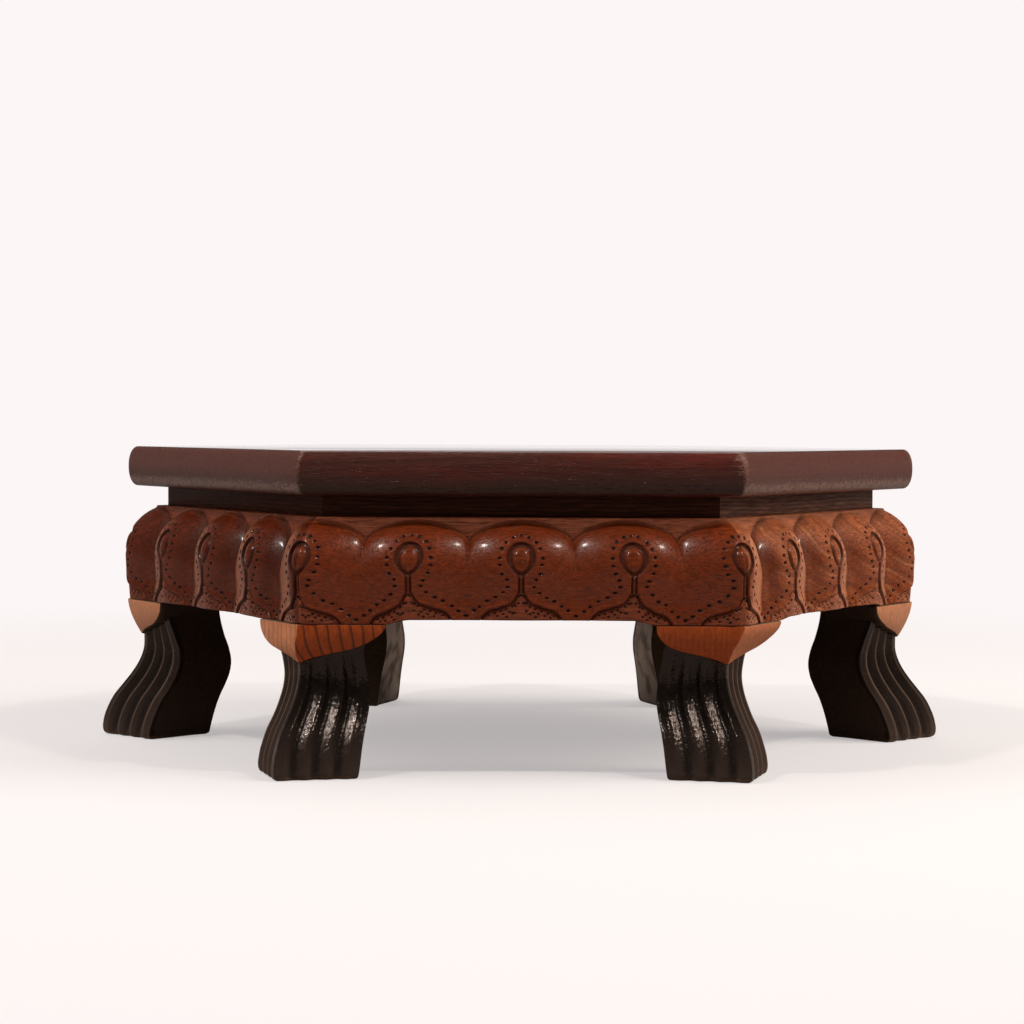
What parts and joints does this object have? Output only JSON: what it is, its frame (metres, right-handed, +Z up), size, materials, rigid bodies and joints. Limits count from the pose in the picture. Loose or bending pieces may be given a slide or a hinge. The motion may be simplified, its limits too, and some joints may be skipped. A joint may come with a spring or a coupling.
{
  "type": "low table",
  "caption": "Low hexagonal wooden table (bajot) with a bullnosed board top, a stepped neck, a carved petal apron and reeded cabriole legs at its corners",
  "frame": {"origin": "on the floor, under the middle of the top", "axes": "+Z up; +X towards the right-hand corner, along the grain of the top boards; -Y is the front side"},
  "size_m": [0.532, 0.4612, 0.1835],
  "materials": {
    "top_wood": "dark red-brown stain under glossy lacquer",
    "neck_wood": "dark brown stain, satin",
    "carved_wood": "red-brown stain under satin lacquer, carved",
    "leg_wood": "ebonised, semi-gloss, with worn ridges; the knees are bare orange-brown wood",
    "inner_wood": "raw planed wood",
    "screw_steel": "dull zinc-coated steel"
  },
  "bodies": {
    "root": {"top_board_front": "top_wood", "top_board_middle": "top_wood", "top_board_rear": "top_wood", "top_spline_front": "inner_wood", "top_spline_rear": "inner_wood", "neck_board_rear_right": "neck_wood", "neck_board_rear": "neck_wood", "neck_board_rear_left": "neck_wood", "neck_board_front_left": "neck_wood", "neck_board_front": "neck_wood", "neck_board_front_right": "neck_wood", "neck_screw_rear_right_right": "screw_steel", "neck_screw_rear_right_left": "screw_steel", "neck_screw_rear_right": "screw_steel", "neck_screw_rear_left": "screw_steel", "neck_screw_rear_left_right": "screw_steel", "neck_screw_rear_left_left": "screw_steel", "neck_screw_front_left_right": "screw_steel", "neck_screw_front_left_left": "screw_steel", "neck_screw_front_right": "screw_steel", "neck_screw_front_left": "screw_steel", "neck_screw_front_right_right": "screw_steel", "neck_screw_front_right_left": "screw_steel", "top_screw_rear_right": "screw_steel", "top_screw_rear": "screw_steel", "top_screw_rear_left": "screw_steel", "top_screw_front_left": "screw_steel", "top_screw_front": "screw_steel", "top_screw_front_right": "screw_steel", "apron_board_rear_right": "carved_wood", "apron_board_rear": "carved_wood", "apron_board_rear_left": "carved_wood", "apron_board_front_left": "carved_wood", "apron_board_front": "carved_wood", "apron_board_front_right": "carved_wood", "mitre_key_right": "inner_wood", "mitre_key_rear_right": "inner_wood", "mitre_key_rear_left": "inner_wood", "mitre_key_left": "inner_wood", "mitre_key_front_left": "inner_wood", "mitre_key_front_right": "inner_wood", "leg_right": "leg_wood", "leg_rear_right": "leg_wood", "leg_rear_left": "leg_wood", "leg_left": "leg_wood", "leg_front_left": "leg_wood", "leg_front_right": "leg_wood", "leg_screw_right_lower": "screw_steel", "leg_screw_right_upper": "screw_steel", "leg_screw_rear_right_lower": "screw_steel", "leg_screw_rear_right_upper": "screw_steel", "leg_screw_rear_left_lower": "screw_steel", "leg_screw_rear_left_upper": "screw_steel", "leg_screw_left_lower": "screw_steel", "leg_screw_left_upper": "screw_steel", "leg_screw_front_left_lower": "screw_steel", "leg_screw_front_left_upper": "screw_steel", "leg_screw_front_right_lower": "screw_steel", "leg_screw_front_right_upper": "screw_steel"}
  },
  "joints": []
}
